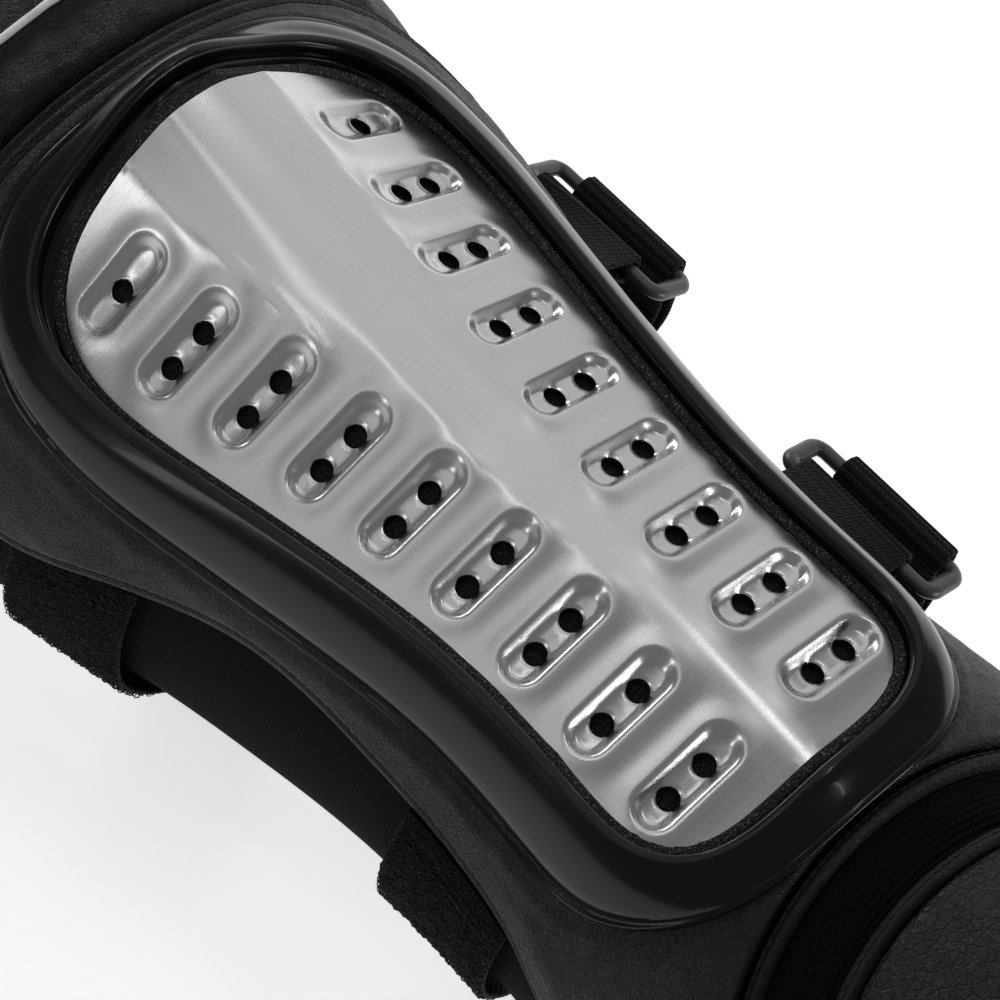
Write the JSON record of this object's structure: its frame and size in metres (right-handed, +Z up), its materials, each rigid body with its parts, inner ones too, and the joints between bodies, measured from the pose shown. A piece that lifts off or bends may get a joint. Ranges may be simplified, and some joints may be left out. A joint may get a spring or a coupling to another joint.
{
  "type": "knee and shin guard",
  "caption": "Padded knee and shin guard with a slotted steel shin plate in a moulded frame, a rounded leather knee cup and straps that close round the leg.",
  "frame": {"origin": "on the surface the guard lies on, under its middle line, half way along its length, on the flat underside of the upper strap", "axes": "+X across the guard to its plain side, away from the rings; +Y along the shin towards the knee cup; +Z up, out of the steel plate"},
  "size_m": [0.2092, 0.479, 0.158],
  "materials": {
    "plate_steel": "satin, brushed along the shin",
    "gasket_foam": "speckled closed-cell foam",
    "frame_plastic": "smooth moulded gloss",
    "liner_fabric": "fine stretch knit, puckered at its edges",
    "pad_leather": "soft grained leather with stitched folds",
    "panel_leather": "soft grained leather, puffed",
    "binding_leather": "smooth folded binding with a row of stitches",
    "gusset_knit": "ribbed stretch knit",
    "cup_leather": "smooth leather with soft wrinkles",
    "strap_webbing": "ribbed elastic webbing",
    "ring_plastic": "smooth moulded satin"
  },
  "bodies": {
    "root": {"shin_plate": "plate_steel", "plate_gasket": "gasket_foam", "plate_frame": "frame_plastic", "liner": "liner_fabric", "shin_pad": "pad_leather", "end_panel": "panel_leather", "pad_binding": "binding_leather", "knee_gusset": "gusset_knit", "cup_binding": "binding_leather", "knee_cup": "cup_leather", "strap_lower": "strap_webbing", "ring_lower": "ring_plastic", "ring_tab_lower": "strap_webbing", "strap_upper": "strap_webbing", "ring_upper": "ring_plastic", "ring_tab_upper": "strap_webbing", "knee_strap": "strap_webbing"}
  },
  "joints": []
}
